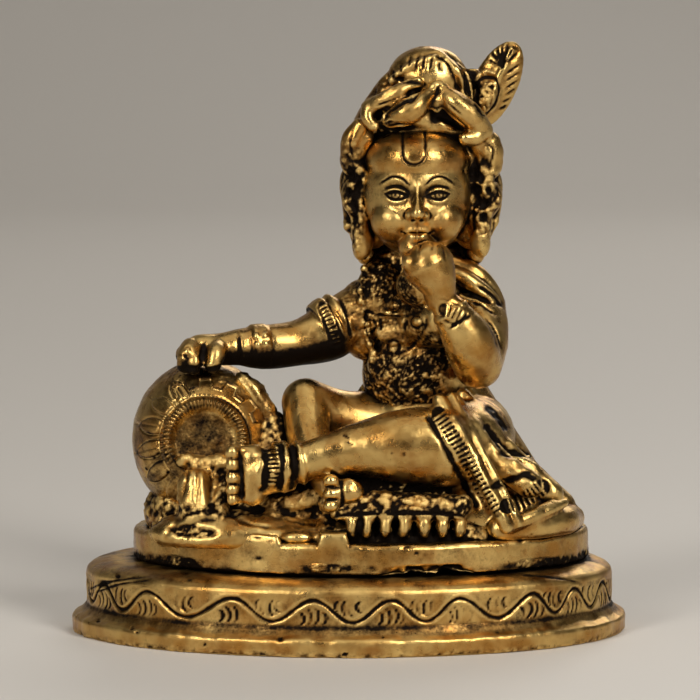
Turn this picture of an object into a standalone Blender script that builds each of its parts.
"""A laddu gopal idol in cast brass.

The child figure sits by a butter pot on an oval seat: figure, pot and seat are one casting.
It stands on a separate oval plinth with a moulded rim and a band of vine scroll.
Metres, +Z up, +X to the viewer's right, +Y away from the viewer.
The origin is the centre of the plinth's underside.
"""

import math

import bmesh
import bpy
from mathutils import Euler, Matrix, Vector

MM = 0.001

# The seat: an oval slab, a little to the right of the plinth's middle, with a worn hollow under its front edge
SEAT_LENGTH = 94.4 * MM
SEAT_DEPTH = 62 * MM
SEAT_HEIGHT = 6.4 * MM
SEAT_EDGE = 0.9 * MM
SEAT_SHIFT = 2.4 * MM
SEAT_SIDES = 64
HOLLOW_LENGTH = 28 * MM
HOLLOW_DEPTH = 3.2 * MM
HOLLOW_HEIGHT = 1.5 * MM
JOINT_GAP = 0.3 * MM

# The plinth, from the ground up: a rounded rim, an upright band and a ledge that slopes up to the seat.
# Its rim stands out past the seat by one width at the ends and another at the front and back.
REACH_AT_ENDS = 10.3 * MM
REACH_AT_FRONT = 8.5 * MM
RIM_HEIGHT = 5.8 * MM
RIM_ROUND = 1.3 * MM
BAND_HEIGHT = 6.6 * MM
BAND_SETBACK = 2.9 * MM
LEDGE_RISE = 2.6 * MM
LEDGE_EDGE = 0.6 * MM
PLINTH_SIDES = 72

# The vine scroll cut into the band
VINE_WAVES = 18
VINE_SWING = 1.7 * MM
VINE_CUT = 0.55 * MM
VINE_STEPS = 8

# The figure and the pot are free forms, in hundredths of the figure's height above the seat.
# Their own middle lies a little to the left of the seat's.
FIGURE_HEIGHT = 100 * MM
FIGURE_SHIFT = -2.4 * MM
SHARE = FIGURE_HEIGHT / 100
CLAY_VOXEL = 0.62 * SHARE
CLAY_FACES_KEPT = 0.03
CLAY_SINK = 2.0

# Where the figure's joints are, and how thick it is there
NECK = (14.8, 3.0, 53.0)
SKULL = (14.8, 2.5, 72.0)
SKULL_SIZE = (13.8, 13.6, 16.0)
FACE = (13.9, -4.4, 69.0)
FACE_SIZE = (11.3, 10.6, 12.8)
CHEST = (15.0, 2.5, 43.5)
BELLY = (15.0, 1.0, 31.5)
HIPS = (17.0, 3.0, 18.0)
RIGHT_SHOULDER = (1.5, 1.0, 44.3, 5.4)
RIGHT_ELBOW = (-10.0, -3.0, 38.0, 4.5)
RIGHT_WRIST = (-22.6, -7.0, 37.0, 3.6)
RIGHT_HAND = (-29.2, -8.0, 36.4)
LEFT_SHOULDER = (26.8, 1.5, 45.3, 5.7)
LEFT_ELBOW = (26.4, -11.0, 34.6, 5.1)
LEFT_WRIST = (19.2, -17.0, 48.0, 3.0)
LEFT_HAND = (16.4, -16.8, 54.4)
LEFT_HIP = (24.5, 2.0, 18.0, 10.0)
LEFT_KNEE = (17.5, -19.5, 18.6, 8.3)
LEFT_ANKLE = (-15.0, -23.4, 14.8, 4.1)
LEFT_TOES = (-24.6, -24.8, 13.4)
RIGHT_HIP = (7.0, 2.0, 19.5, 8.0)
RIGHT_KNEE = (-9.0, -6.5, 26.3, 5.0)
RIGHT_ANKLE = (-3.0, -21.0, 10.5, 3.6)
POT = (-30.0, -3.0, 18.3)
POT_SIZE = (14.9, 15.0, 16.3)
POT_MOUTH = (-29.4, -17.0, 19.4)
POT_MOUTH_RADIUS = 8.6
POT_MOUTH_DEPTH = 3.6
POT_LIP = 1.5
POT_TILT = 9
# A petal on the pot starts at the lip and follows the pot's curve: distance from the mouth's middle, and drop
PETAL_LINE = ((10.4, -2.4), (12.0, -4.4), (13.6, -7.6))
PETAL_WIDTH = 1.8

BRASS = (0.62, 0.42, 0.13, 1.0)


def clear_scene():
    for old in list(bpy.data.objects):
        bpy.data.objects.remove(old)


def brass(name, roughness):
    material = bpy.data.materials.new(name)
    material.use_nodes = True
    shader = material.node_tree.nodes["Principled BSDF"]
    shader.inputs["Base Color"].default_value = BRASS
    shader.inputs["Metallic"].default_value = 1.0
    shader.inputs["Roughness"].default_value = roughness
    return material


def new_object(name, mesh, material=None):
    thing = bpy.data.objects.new(name, mesh)
    bpy.context.scene.collection.objects.link(thing)
    if material:
        mesh.materials.append(material)
    return thing


def helper(thing):
    thing.hide_render = True
    thing.display_type = "WIRE"
    return thing


# Free forms: each adds one closed shape to the clay, in shares of the figure's height


def unit_ball(sides):
    """The mesh of a ball of radius 1, made once for each number of sides."""
    name = f"unit_ball_{sides}"
    if name not in bpy.data.meshes:
        form = bmesh.new()
        bmesh.ops.create_uvsphere(form, u_segments=sides, v_segments=sides // 2 + 1, radius=1)
        form.to_mesh(bpy.data.meshes.new(name))
        form.free()
    return bpy.data.meshes[name]


def ball(clay, centre, radii, lean=(0, 0, 0), sides=18):
    """An ellipsoid, turned by lean in degrees about X, Y and Z."""
    turn = Euler([math.radians(a) for a in lean]).to_matrix().to_4x4()
    mesh = unit_ball(sides).copy()
    mesh.transform(Matrix.Translation(Vector(centre)) @ turn @ Matrix.Diagonal((*radii, 1)))
    clay.from_mesh(mesh)
    bpy.data.meshes.remove(mesh)


def bead(clay, centre, radius):
    ball(clay, centre, (radius, radius, radius), sides=8)


def smooth_line(stations, steps):
    """A Catmull-Rom curve through stations of (x, y, z, radius)."""
    known = [Vector(s) for s in stations]
    known = [known[0] * 2 - known[1]] + known + [known[-1] * 2 - known[-2]]
    line = []
    for a, b, c, d in zip(known, known[1:], known[2:], known[3:]):
        for i in range(steps):
            t = i / steps
            bend = (c - a) * t + (2 * a - 5 * b + 4 * c - d) * t**2 + (3 * b - a - 3 * c + d) * t**3
            line.append(b + bend * 0.5)
    line.append(known[-2])
    return line


def limb(clay, *stations, sides=12, steps=3, flat=1.0):
    """A round form along a smooth curve, with rounded ends. flat below 1 squeezes it crosswise."""
    line = smooth_line(stations, steps)
    places = [p.xyz for p in line]
    side = None
    rings = []
    for i, place in enumerate(places):
        ahead = (places[min(i + 1, len(places) - 1)] - places[max(i - 1, 0)]).normalized()
        if side is None:
            side = ahead.orthogonal().normalized()
        side = (side - ahead * side.dot(ahead)).normalized()
        up = ahead.cross(side)
        ring = []
        for k in range(sides):
            angle = math.tau * k / sides
            spoke = side * math.cos(angle) + up * math.sin(angle) * flat
            ring.append(clay.verts.new(place + spoke * line[i].w))
        rings.append(ring)
    for low, high in zip(rings, rings[1:]):
        for k in range(sides):
            clay.faces.new((low[k], low[(k + 1) % sides], high[(k + 1) % sides], high[k]))
    clay.faces.new(list(reversed(rings[0])))
    clay.faces.new(rings[-1])
    for end in (line[0], line[-1]):
        ball(clay, end.xyz, (end.w, end.w, end.w), sides=sides)


def hoop(clay, centre, axis, radius, thickness, sides=20):
    """A closed ring round an axis."""
    turn = Vector(axis).to_track_quat("Z", "Y").to_matrix()
    corners = []
    for i in range(sides):
        around = math.tau * i / sides
        ring = []
        for k in range(6):
            across = math.tau * k / 6
            reach = radius + thickness * math.cos(across)
            spot = Vector((reach * math.cos(around), reach * math.sin(around), thickness * math.sin(across)))
            ring.append(clay.verts.new(Vector(centre) + turn @ spot))
        corners.append(ring)
    for i in range(sides):
        low, high = corners[i], corners[(i + 1) % sides]
        for k in range(6):
            clay.faces.new((low[k], high[k], high[(k + 1) % 6], low[(k + 1) % 6]))


def beads_along(clay, count, radius, *stations):
    line = smooth_line([(*s, radius) for s in stations], 12)
    for i in range(count):
        bead(clay, line[round(i * (len(line) - 1) / (count - 1))].xyz, radius)


def between(start, end, share):
    return Vector(start).lerp(Vector(end), share)


# The figure


def head(clay):
    ball(clay, SKULL, SKULL_SIZE)
    ball(clay, FACE, FACE_SIZE, sides=24)
    ball(clay, (13.9, -5.2, 76.2), (10.6, 9.4, 6.6))
    limb(clay, (13.9, -14.4, 71.5, 0.9), (13.9, -15.9, 68.3, 1.1), (13.9, -16.5, 66.4, 1.5))
    for side in (-1, 1):
        ball(clay, (13.9 + 4.7 * side, -9.6, 64.4), (4.6, 4.6, 4.4))
        ball(clay, (13.9 + 4.4 * side, -13.2, 70.0), (2.8, 1.6, 1.4))
        limb(clay, (13.9 + 1.6 * side, -14.6, 72.4, 0.6), (13.9 + 4.4 * side, -14.2, 73.6, 0.7),
             (13.9 + 7.3 * side, -12.2, 72.2, 0.6))
        bead(clay, (13.9 + 1.4 * side, -15.3, 66.2), 1.0)
    ball(clay, (13.9, -11.4, 59.0), (3.8, 3.4, 3.0))
    limb(clay, (11.3, -13.9, 62.0, 0.6), (13.9, -15.3, 62.5, 0.9), (16.5, -13.9, 62.0, 0.6))
    limb(clay, (11.7, -13.7, 60.9, 0.6), (13.9, -15.0, 60.5, 1.0), (16.1, -13.7, 60.9, 0.6))
    limb(clay, (14.6, 3, 62, 6.5), (*NECK, 6.3))
    ball(clay, (14.6, 4.5, 54.5), (12.0, 7.0, 6.0))
    for x, z in ((1.9, 57.0), (27.0, 58.6)):
        ball(clay, (x, -4.6, z), (2.3, 2.4, 3.2))


def hair(clay):
    ball(clay, (14.8, 4.2, 73.5), (14.4, 14.0, 16.0))
    ball(clay, (14.8, -3.4, 82.6), (12.6, 8.0, 7.0))
    limb(clay, (15.6, -8.2, 88.6, 1.8), (10.4, -9.6, 87.2, 2.5), (5.4, -8.6, 84, 2.8), (2.8, -6.2, 80.4, 2.3))
    limb(clay, (17.0, -10.6, 87.4, 1.2), (14.2, -12.4, 85.0, 2.5), (10.6, -12.8, 83.0, 2.7), (7.2, -11.4, 82.4, 1.6))
    limb(clay, (17.8, -9.8, 88.6, 1.6), (21.0, -11.0, 86.0, 3.0), (24.6, -9.6, 81.6, 3.0), (26.2, -7.8, 78.4, 2.2))
    ball(clay, (24.4, -9.6, 78.6), (2.4, 2.6, 2.6))
    ball(clay, (28.0, -5.6, 77.6), (2.6, 3.4, 3.4))
    for x, z, radius in ((28.2, 77.2, 3.2), (29.0, 72.4, 2.7), (28.8, 68.0, 2.7), (27.8, 63.6, 2.5)):
        ball(clay, (x, -5.0, z), (radius * 0.9, radius, radius))
    for x, z, radius in ((1.2, 76.0, 3.1), (0.8, 71.4, 2.8), (0.8, 67.0, 2.8), (1.4, 62.4, 2.6)):
        ball(clay, (x, -4.8, z), (radius * 0.9, radius, radius))
    for x in (4.6, 25.2):
        limb(clay, (x, -2.2, 78, 3.6), (x, -2.2, 70, 3.8), (x, -1.6, 61, 3.6))
    # Long locks run from the crown round the back of the head
    locks = 9
    for i in range(locks):
        angle = math.radians(-100 + 200 * i / (locks - 1))
        out = Vector((math.sin(angle), math.cos(angle), 0))
        stations = []
        for reach, z, radius in ((6, 87.0, 2.0), (12.0, 80.5, 2.7), (13.2, 72, 2.9), (12.6, 63, 3.0), (11.4, 56, 2.2)):
            stations.append((14.8 + out.x * reach, 3.4 + out.y * reach, z, radius))
        limb(clay, *stations, sides=10, steps=2)


def crown(clay):
    """The topknot with its twisted cord, and the peacock feather that stands up from it."""
    ball(clay, (16.2, 0, 91.4), (8.4, 6.6, 7.2))
    limb(clay, (19.8, -4.2, 96.2, 1.0), (23.2, -4.4, 93.0, 1.2), (23.8, -4.6, 88.6, 1.2))
    limb(clay, (9.0, -4.0, 92.5, 0.9), (13.0, -5.0, 95.6, 0.9), (17.5, -4.6, 97.0, 0.9))
    limb(clay, (25.2, 0, 83.5, 2.2), (28.0, 1.5, 87.5, 2.4))
    ball(clay, (30.0, 2.2, 91.0), (4.7, 2.0, 10.1), lean=(0, 26, 0))
    ball(clay, (28.2, 0.4, 88.6), (3.0, 1.6, 4.2), lean=(0, 22, 0))
    limb(clay, (26.0, 0.6, 82.6, 1.2), (30.0, 0.0, 91.0, 0.9), (33.6, 0.8, 98.6, 0.5))


def torso(clay):
    ball(clay, CHEST, (12.6, 8.0, 11.4))
    ball(clay, BELLY, (12.4, 9.2, 11.0))
    ball(clay, HIPS, (16.5, 12.5, 13.0))
    ball(clay, (3.4, 1.4, 46.0), (5.4, 5.4, 5.2))
    ball(clay, (3.2, 1.0, 39.6), (4.4, 5.0, 5.4))
    ball(clay, (6.5, -0.6, 46.5), (5.5, 4.4, 9.0))
    ball(clay, (26.0, 2.2, 45.8), (6.0, 6.0, 5.4))


def jewels(clay):
    """Collar, chest plate with its bosses, and the garland down the right side."""
    ball(clay, (12.0, -5.2, 40.6), (6.8, 1.9, 3.0))
    limb(clay, (5.5, -3.8, 44.6, 0.8), (12, -6.6, 44.2, 0.9), (19, -6.2, 43.6, 0.8))
    for x, z in ((6.8, 41.4), (10.4, 40.4), (14.2, 40.8), (17.0, 42.4), (12.0, 37.2), (8.2, 38.0)):
        bead(clay, (x, -7.0, z), 1.1)
    beads_along(clay, 11, 1.2, (3.2, -3.0, 53.5), (2.6, -4.0, 48.0), (3.2, -4.2, 42.5), (5.0, -4.0, 36.0))
    beads_along(clay, 8, 1.0, (7.0, -3.4, 54.0), (6.2, -4.9, 49.5), (6.0, -5.2, 45.5))
    ball(clay, (5.0, -3.8, 33.8), (1.2, 1.6, 2.2))
    ball(clay, (13.4, -4.4, 49.4), (1.2, 1.8, 2.2))


def shawl(clay):
    """Folds over the left shoulder, which cross the back to the right hip."""
    limb(clay, (20, -2.6, 53.4, 1.5), (25, -3.4, 50.8, 1.8), (29.2, -2.6, 46.8, 1.9), (31.0, -0.6, 41.5, 1.6))
    limb(clay, (21, 0.0, 55.0, 1.6), (26.4, -0.4, 52.2, 2.0), (30.2, 0.6, 46.5, 2.0), (30.6, 2.4, 40.0, 1.8))
    limb(clay, (23, -4.2, 47.6, 1.2), (27.4, -5.2, 45.6, 1.4), (30.2, -4.0, 42.0, 1.3))
    for low in (0, 1, 2):
        drop = 3.4 * low
        limb(clay, (26 - low, 5.5 + low, 51 - drop, 1.8), (19, 9.4, 44 - drop, 2.0), (9.5, 9.6, 34 - drop, 2.0),
             (3.4, 7.6, 26.5 - drop, 1.7))


def right_arm(clay):
    limb(clay, RIGHT_SHOULDER, (-4, -1, 40.9, 5.0), RIGHT_ELBOW, (-17.4, -5, 37.0, 4.2), RIGHT_WRIST)
    along = between(RIGHT_ELBOW[:3], RIGHT_SHOULDER[:3], 1) - Vector(RIGHT_ELBOW[:3])
    for share, radius in ((0.42, 5.5), (0.56, 5.9), (0.70, 6.0)):
        hoop(clay, between(RIGHT_ELBOW[:3], RIGHT_SHOULDER[:3], share), along, radius - 0.6, 0.8)
    along = Vector(RIGHT_WRIST[:3]) - Vector(RIGHT_ELBOW[:3])
    for share in (0.60, 0.76, 0.92):
        hoop(clay, between(RIGHT_ELBOW[:3], RIGHT_WRIST[:3], share), along, 4.0, 0.75)
    ball(clay, RIGHT_HAND, (6.2, 5.0, 3.5), lean=(0, -8, 0))
    for x, y, z, drop in ((-33.6, -10.0, 36.0, 3.4), (-31.4, -12.0, 36.4, 3.6), (-29.0, -12.6, 36.6, 3.4)):
        limb(clay, (x + 2.2, y + 2, z + 0.8, 1.5), (x - 0.4, y - 1.0, z - 0.6, 1.6), (x - 1.4, y - 1.6, z - drop, 1.3))
    limb(clay, (-25.6, -10.5, 36.6, 1.8), (-25.0, -12.6, 34.4, 1.6), (-25.8, -13.6, 32.6, 1.3))


def left_arm(clay):
    limb(clay, LEFT_SHOULDER, (27.4, -5.2, 39.4, 5.5), LEFT_ELBOW)
    limb(clay, LEFT_ELBOW, (24.6, -14.8, 39.4, 5.4), (21.8, -16.6, 44.2, 4.2), LEFT_WRIST)
    along = Vector(LEFT_WRIST[:3]) - Vector((21.8, -16.6, 44.2))
    hoop(clay, (20.6, -16.9, 46.0), along, 3.4, 0.8)
    # The space between the chest and the raised forearm is filled, as a caster leaves it
    limb(clay, (15, -3.5, 43, 6.0), (19.6, -9.5, 43.5, 5.6))
    ball(clay, (15.5, -8.5, 50.5), (6.0, 6.0, 4.6))
    ball(clay, LEFT_HAND, (4.9, 4.4, 4.8))
    for x, z in ((12.9, 56.6), (15.0, 57.8), (17.2, 58.0), (19.3, 57.0)):
        limb(clay, (x + 0.7, -18.6, z - 3.2, 1.4), (x, -19.2, z - 0.6, 1.4), (x - 0.4, -17.2, z + 0.6, 1.2))
    limb(clay, (19.8, -19.4, 52.0, 1.4), (18.2, -20.6, 54.2, 1.4), (16.0, -20.4, 55.6, 1.1))


def legs(clay):
    limb(clay, LEFT_HIP, (24.5, -9.0, 18.2, 9.2), LEFT_KNEE)
    limb(clay, LEFT_KNEE, (10, -20.6, 18.8, 7.5), (0.5, -21.8, 18.0, 5.3), (-8, -22.8, 16.2, 4.1), LEFT_ANKLE)
    limb(clay, LEFT_ANKLE, (-18.6, -24.0, 14.4, 5.4), (-21.6, -24.4, 14.2, 5.3), LEFT_TOES + (4.6,))
    for share, radius in ((0.72, 3.9), (0.93, 4.5)):
        hoop(clay, between(LEFT_ANKLE[:3], (-8, -22.8, 16.2), 1 - share), (1, 0.1, 0.2), radius, 0.8)
    x, y, z = LEFT_TOES
    for rise, radius in ((4.6, 2.0), (1.7, 1.8), (-1.3, 1.7), (-4.0, 1.5)):
        limb(clay, (x + 2, y - 1.0, z + rise * 0.9, radius * 0.9), (x - 1.4, y - 2.4, z + rise, radius))
    limb(clay, RIGHT_HIP, (-2.6, -2.6, 22.6, 6.0), RIGHT_KNEE)
    limb(clay, RIGHT_KNEE, (-8.2, -12.5, 19.5, 4.5), (-5.6, -18.0, 14.0, 3.9), RIGHT_ANKLE)
    ball(clay, (-0.4, -26.0, 10.2), (3.6, 2.6, 2.8))
    for rise in (3.0, 0.8, -1.4):
        limb(clay, (-2.4, -26.4, 10.2 + rise, 1.1), (-4.4, -27.0, 10.0 + rise, 1.1))


def skirt(clay):
    """The cloth from the waist to the seat: a thick cone with folds, and its ribbed hem."""
    ball(clay, (27.0, -3.0, 4.0), (17.5, 19.0, 11.5))
    limb(clay, (24, 0, 27, 5), (29.5, -3, 16.5, 6.2), (37.2, -5, 4.5, 6.2), (42.0, -6, -1, 5.4))
    folds = (
        ((21.5, -14, 27.5), (30.0, -18.0, 16.0), (36.6, -20.0, 11.0)),
        ((23.4, -10, 28.0), (32.0, -12.5, 16.8), (41.2, -13.5, 8.0)),
        ((24.5, -4, 28.0), (32.5, -5.0, 16.4), (44.0, -5.0, 4.6)),
        ((24.0, 4, 27.6), (31.5, 6.0, 15.6), (42.2, 7.0, 3.8)),
        ((21.0, 9, 25.0), (27.0, 13.0, 14.0), (34.0, 16.5, 3.0)),
        ((15.5, 10.5, 24.0), (17.0, 15.0, 13.0), (20.0, 20.5, 2.6)),
        ((8.0, 9.5, 22.0), (6.0, 14.0, 12.0), (5.0, 19.0, 2.6)),
    )
    for top, middle, foot in folds:
        limb(clay, (*top, 1.6), (*middle, 2.5), (*foot, 2.9), steps=4)
    limb(clay, (30.5, -22, 2.0, 2.6), (37.5, -20.5, 2.4, 2.6), (43.5, -14.5, 2.6, 3.0), (46.0, -5, 2.0, 2.8))
    hems = (
        ((18.4, -18.4, 28.0), (21.8, -22.2, 22.2), (25.4, -24.6, 15.4), (29.2, -26.2, 8.6), (31.8, -26.4, 3.0)),
        ((32.6, -25.0, 3.2), (37.4, -22.6, 4.8), (41.6, -18.4, 6.2)),
    )
    for hem in hems:
        limb(clay, *[(*spot, 1.4) for spot in hem])
        limb(clay, *[(x + 2.4, y + 1.2, z + 0.6, 1.0) for x, y, z in hem])
        line = smooth_line([(*spot, 1.5) for spot in hem], 5)
        for rib, ahead in zip(line, line[1:]):
            hoop(clay, rib.xyz, (ahead - rib).xyz, 1.1, 0.5, sides=10)


def pot(clay):
    """The body of the pot, its notched lip and the butter that runs out of it."""
    ball(clay, POT, POT_SIZE, sides=28)
    out = pot_axis()
    hoop(clay, POT_MOUTH, out, POT_MOUTH_RADIUS - POT_LIP * 0.4, POT_LIP, sides=32)
    hoop(clay, Vector(POT_MOUTH) - out * 1.2, out, POT_MOUTH_RADIUS + 1.2, 0.8, sides=32)
    turn = out.to_track_quat("Z", "Y").to_matrix()
    leaves = 14
    for i in range(leaves):
        angle = math.tau * i / leaves
        spokes = [turn @ Vector((r * math.cos(angle), r * math.sin(angle), sink)) for r, sink in PETAL_LINE]
        limb(clay, *[(*(Vector(POT_MOUTH) + spoke), PETAL_WIDTH * share) for spoke, share in zip(spokes, (0.6, 1, 0.7))])
    ball(clay, (-15.4, -7.0, 12.0), (4.6, 7.0, 11.4))


def butter(clay):
    for x, y, z, radius in ((-30.5, -16.6, 14.4, 2.6), (-26.6, -17.0, 15.0, 2.6), (-33.4, -16.8, 15.4, 2.0),
                            (-28.6, -17.6, 12.4, 2.4), (-23.8, -18.2, 12.4, 2.2), (-31.0, -18.4, 9.6, 2.6)):
        ball(clay, (x, y, z), (radius, radius * 0.8, radius * 0.8))
    limb(clay, (-29.4, -19.0, 11.0, 2.2), (-30.4, -21.4, 6.0, 2.4), (-33.0, -21.5, 1.4, 3.0), steps=4)
    limb(clay, (-25.6, -19.6, 10.0, 1.8), (-26.4, -22.0, 5.6, 2.0), (-27.0, -23.0, 1.0, 3.0), steps=4)
    limb(clay, (-33.0, -20.5, 0.4, 2.2), (-25.0, -24.6, 1.0, 2.4), (-14.0, -27.0, 0.4, 2.2), (-6.0, -28.0, 0.2, 1.6))
    ball(clay, (-22.0, -18.0, 0.4), (19.0, 9.6, 5.2))


def mat(clay):
    """The raised mat under the figure, the rough metal left between the legs, and the fringe along the front."""
    ball(clay, (9.0, -3.0, 0.0), (33.0, 24.2, 9.0))
    limb(clay, (-19, -14, 5, 6.5), (-8, -15, 7, 6.5), (2, -15, 9, 7.0), (15, -14, 10, 7.0))
    limb(clay, (-6, -24.6, 6.4, 2.4), (8, -26.2, 6.8, 2.6), (24, -25.4, 6.2, 2.4))
    petals = 11
    for i in range(petals):
        share = i / (petals - 1)
        x = -1.0 + 27.0 * share
        y = -27.6 + 3.2 * (share - 0.35) ** 2
        ball(clay, (x, y, 3.6), (1.05, 1.5, 3.4), lean=(-10, 0, 0), sides=10)


def plinth_height():
    return RIM_HEIGHT + BAND_HEIGHT + LEDGE_RISE


def seat_top():
    return plinth_height() + JOINT_GAP + SEAT_HEIGHT


def figure_place():
    """From the free forms' own measure to their place on the seat."""
    return Matrix.Translation((SEAT_SHIFT + FIGURE_SHIFT, 0, seat_top())) @ Matrix.Scale(SHARE, 4)


def pot_axis():
    """The way the pot's mouth looks: towards the viewer and a little up."""
    tilt = math.radians(POT_TILT)
    return Vector((0.06, -math.cos(tilt), math.sin(tilt))).normalized()


def largest_shell(form):
    """Deletes every closed shell but the largest, such as a bubble trapped between two forms."""
    left = set(form.verts)
    shells = []
    while left:
        shell = {left.pop()}
        front = list(shell)
        while front:
            for edge in front.pop().link_edges:
                for corner in edge.verts:
                    if corner in left:
                        left.remove(corner)
                        shell.add(corner)
                        front.append(corner)
        shells.append(shell)
    shells.sort(key=len)
    bmesh.ops.delete(form, geom=[v for shell in shells[:-1] for v in shell], context="VERTS")


def evaluated_form(thing):
    form = bmesh.new()
    form.from_object(thing, bpy.context.evaluated_depsgraph_get())
    return form


def figure_and_pot():
    """All the free forms fused into one skin, thinned to few faces, at its real size on the seat."""
    clay = bmesh.new()
    for model in (head, hair, crown, torso, jewels, shawl, right_arm, left_arm, legs, skirt, pot, butter, mat):
        model(clay)
    bmesh.ops.recalc_face_normals(clay, faces=clay.faces)
    clay.transform(figure_place())
    mesh = bpy.data.meshes.new("clay")
    clay.to_mesh(mesh)
    clay.free()
    thing = new_object("clay", mesh)
    fuse = thing.modifiers.new("fuse", "REMESH")
    fuse.mode = "VOXEL"
    fuse.voxel_size = CLAY_VOXEL
    soften = thing.modifiers.new("soften", "SMOOTH")
    soften.iterations = 2
    thing.modifiers.new("thin", "DECIMATE").ratio = CLAY_FACES_KEPT
    bpy.context.view_layer.update()
    form = evaluated_form(thing)
    bpy.data.objects.remove(thing)
    # What would hang below the seat's top by more than a little is cut off flat inside the slab
    floor = seat_top() - CLAY_SINK * SHARE
    everything = form.verts[:] + form.edges[:] + form.faces[:]
    cut = bmesh.ops.bisect_plane(form, geom=everything, plane_co=(0, 0, floor), plane_no=(0, 0, -1), clear_outer=True)
    rim = [item for item in cut["geom_cut"] if isinstance(item, bmesh.types.BMEdge)]
    bmesh.ops.holes_fill(form, edges=rim)
    largest_shell(form)
    bmesh.ops.triangulate(form, faces=form.faces)
    bmesh.ops.recalc_face_normals(form, faces=form.faces)
    mesh = bpy.data.meshes.new("figure_and_pot")
    form.to_mesh(mesh)
    form.free()
    return helper(new_object("figure_and_pot", mesh))


def pot_hollow():
    """The cutter for the pot's mouth: a shallow bowl on the mouth's axis."""
    form = bmesh.new()
    out = pot_axis()
    ball(form, Vector(POT_MOUTH) + out * 1.2, (POT_MOUTH_RADIUS - POT_LIP, POT_MOUTH_RADIUS - POT_LIP, POT_MOUTH_DEPTH),
         lean=(90 - POT_TILT, 0, 0), sides=20)
    form.transform(figure_place())
    mesh = bpy.data.meshes.new("pot_hollow")
    form.to_mesh(mesh)
    form.free()
    return helper(new_object("pot_hollow", mesh))


# The seat and the plinth


def plinth_size():
    return SEAT_LENGTH + 2 * REACH_AT_ENDS, SEAT_DEPTH + 2 * REACH_AT_FRONT


def oval_stack(name, length, depth, profile, sides, shift=0.0):
    """A closed solid of ovals: each (inset, z) of the profile is one oval, inset from length by depth."""
    form = bmesh.new()
    rings = []
    for inset, z in profile:
        ring = []
        for i in range(sides):
            angle = math.tau * i / sides
            x = (length / 2 - inset) * math.cos(angle) + shift
            ring.append(form.verts.new((x, (depth / 2 - inset) * math.sin(angle), z)))
        rings.append(ring)
    for low, high in zip(rings, rings[1:]):
        for i in range(sides):
            form.faces.new((low[i], low[(i + 1) % sides], high[(i + 1) % sides], high[i]))
    form.faces.new(list(reversed(rings[0])))
    form.faces.new(rings[-1])
    bmesh.ops.recalc_face_normals(form, faces=form.faces)
    mesh = bpy.data.meshes.new(name)
    form.to_mesh(mesh)
    form.free()
    return mesh


def seat():
    low = plinth_height() + JOINT_GAP
    high = seat_top()
    profile = (
        (SEAT_EDGE * 0.5, low),
        (0.0, low + SEAT_EDGE * 0.5),
        (0.0, high - SEAT_EDGE),
        (SEAT_EDGE * 0.4, high - SEAT_EDGE * 0.3),
        (SEAT_EDGE, high),
    )
    return oval_stack("idol", SEAT_LENGTH, SEAT_DEPTH, profile, SEAT_SIDES, SEAT_SHIFT)


def seat_hollow():
    """The cutter for the worn hollow under the seat's front edge."""
    form = bmesh.new()
    place = Matrix.Translation((SEAT_SHIFT + 0.18 * SEAT_LENGTH, -SEAT_DEPTH / 2, plinth_height() + JOINT_GAP))
    size = Matrix.Diagonal((HOLLOW_LENGTH / 2, HOLLOW_DEPTH, HOLLOW_HEIGHT, 1))
    bmesh.ops.create_uvsphere(form, u_segments=16, v_segments=8, radius=1, matrix=place @ size)
    mesh = bpy.data.meshes.new("seat_hollow")
    form.to_mesh(mesh)
    form.free()
    return helper(new_object("seat_hollow", mesh))


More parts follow.
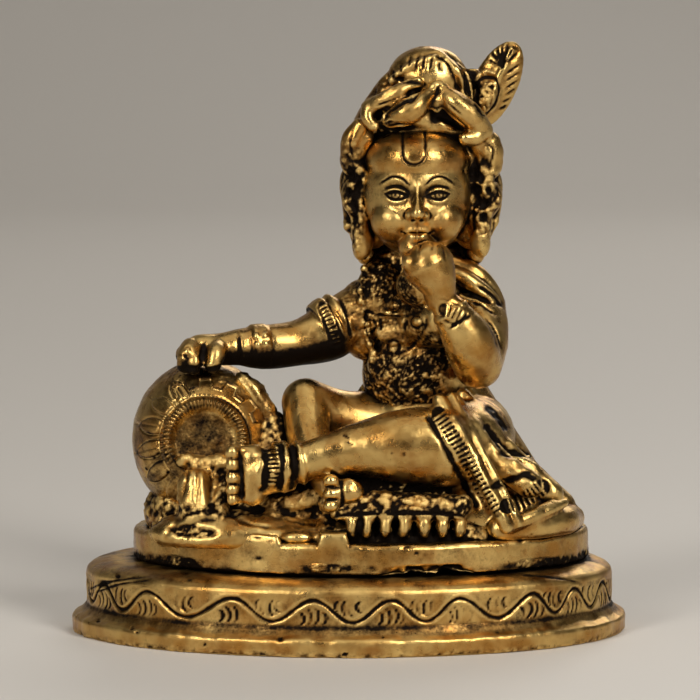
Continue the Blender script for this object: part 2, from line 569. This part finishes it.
def plinth_mesh():
    band_top = RIM_HEIGHT + BAND_HEIGHT
    top = plinth_height()
    ledge_end = REACH_AT_FRONT + LEDGE_EDGE
    profile = (
        (RIM_ROUND, 0.0),
        (RIM_ROUND * 0.25, RIM_ROUND * 0.7),
        (0.0, RIM_HEIGHT * 0.45),
        (RIM_ROUND * 0.35, RIM_HEIGHT * 0.78),
        (RIM_ROUND * 1.1, RIM_HEIGHT * 0.95),
        (BAND_SETBACK, RIM_HEIGHT),
        (BAND_SETBACK, band_top - LEDGE_EDGE),
        (BAND_SETBACK - LEDGE_EDGE * 0.5, band_top - LEDGE_EDGE * 0.2),
        (BAND_SETBACK + LEDGE_EDGE, band_top + LEDGE_EDGE * 0.4),
        (ledge_end, top),
    )
    return oval_stack("plinth", *plinth_size(), profile, PLINTH_SIDES)


def vine_cutter():
    """A thin rod that swings up and down round the band, so that cutting it leaves the vine's stem."""
    form = bmesh.new()
    half_length, half_depth = [size / 2 - BAND_SETBACK for size in plinth_size()]
    middle = RIM_HEIGHT + (BAND_HEIGHT - LEDGE_EDGE) / 2
    count = VINE_WAVES * VINE_STEPS
    rings = []
    for i in range(count):
        angle = math.tau * i / count
        z = middle + VINE_SWING * math.sin(VINE_WAVES * angle)
        out = Vector((half_depth * math.cos(angle), half_length * math.sin(angle), 0)).normalized()
        spot = Vector((half_length * math.cos(angle), half_depth * math.sin(angle), z)) + out * VINE_CUT * 0.2
        corners = (out * VINE_CUT, Vector((0, 0, VINE_CUT)), -out * VINE_CUT, Vector((0, 0, -VINE_CUT)))
        rings.append([form.verts.new(spot + corner) for corner in corners])
    for i in range(count):
        low, high = rings[i], rings[(i + 1) % count]
        for k in range(4):
            form.faces.new((low[k], high[k], high[(k + 1) % 4], low[(k + 1) % 4]))
    bmesh.ops.recalc_face_normals(form, faces=form.faces)
    mesh = bpy.data.meshes.new("vine_cutter")
    form.to_mesh(mesh)
    form.free()
    return helper(new_object("vine_cutter", mesh))


def boolean(thing, operation, other, solver="EXACT"):
    change = thing.modifiers.new(f"{operation.lower()} {other.name}", "BOOLEAN")
    change.operation = operation
    change.object = other
    change.solver = solver


def build_idol():
    idol = new_object("idol", seat(), brass("brass_idol", 0.28))
    boolean(idol, "DIFFERENCE", seat_hollow())
    # The thinned skin has faces that graze each other, which the exact solver drops whole
    boolean(idol, "UNION", figure_and_pot(), "MANIFOLD")
    boolean(idol, "DIFFERENCE", pot_hollow(), "MANIFOLD")
    return idol


def build_plinth():
    plinth = new_object("plinth", plinth_mesh(), brass("brass_plinth", 0.32))
    boolean(plinth, "DIFFERENCE", vine_cutter())
    return plinth


clear_scene()
build_plinth()
build_idol()
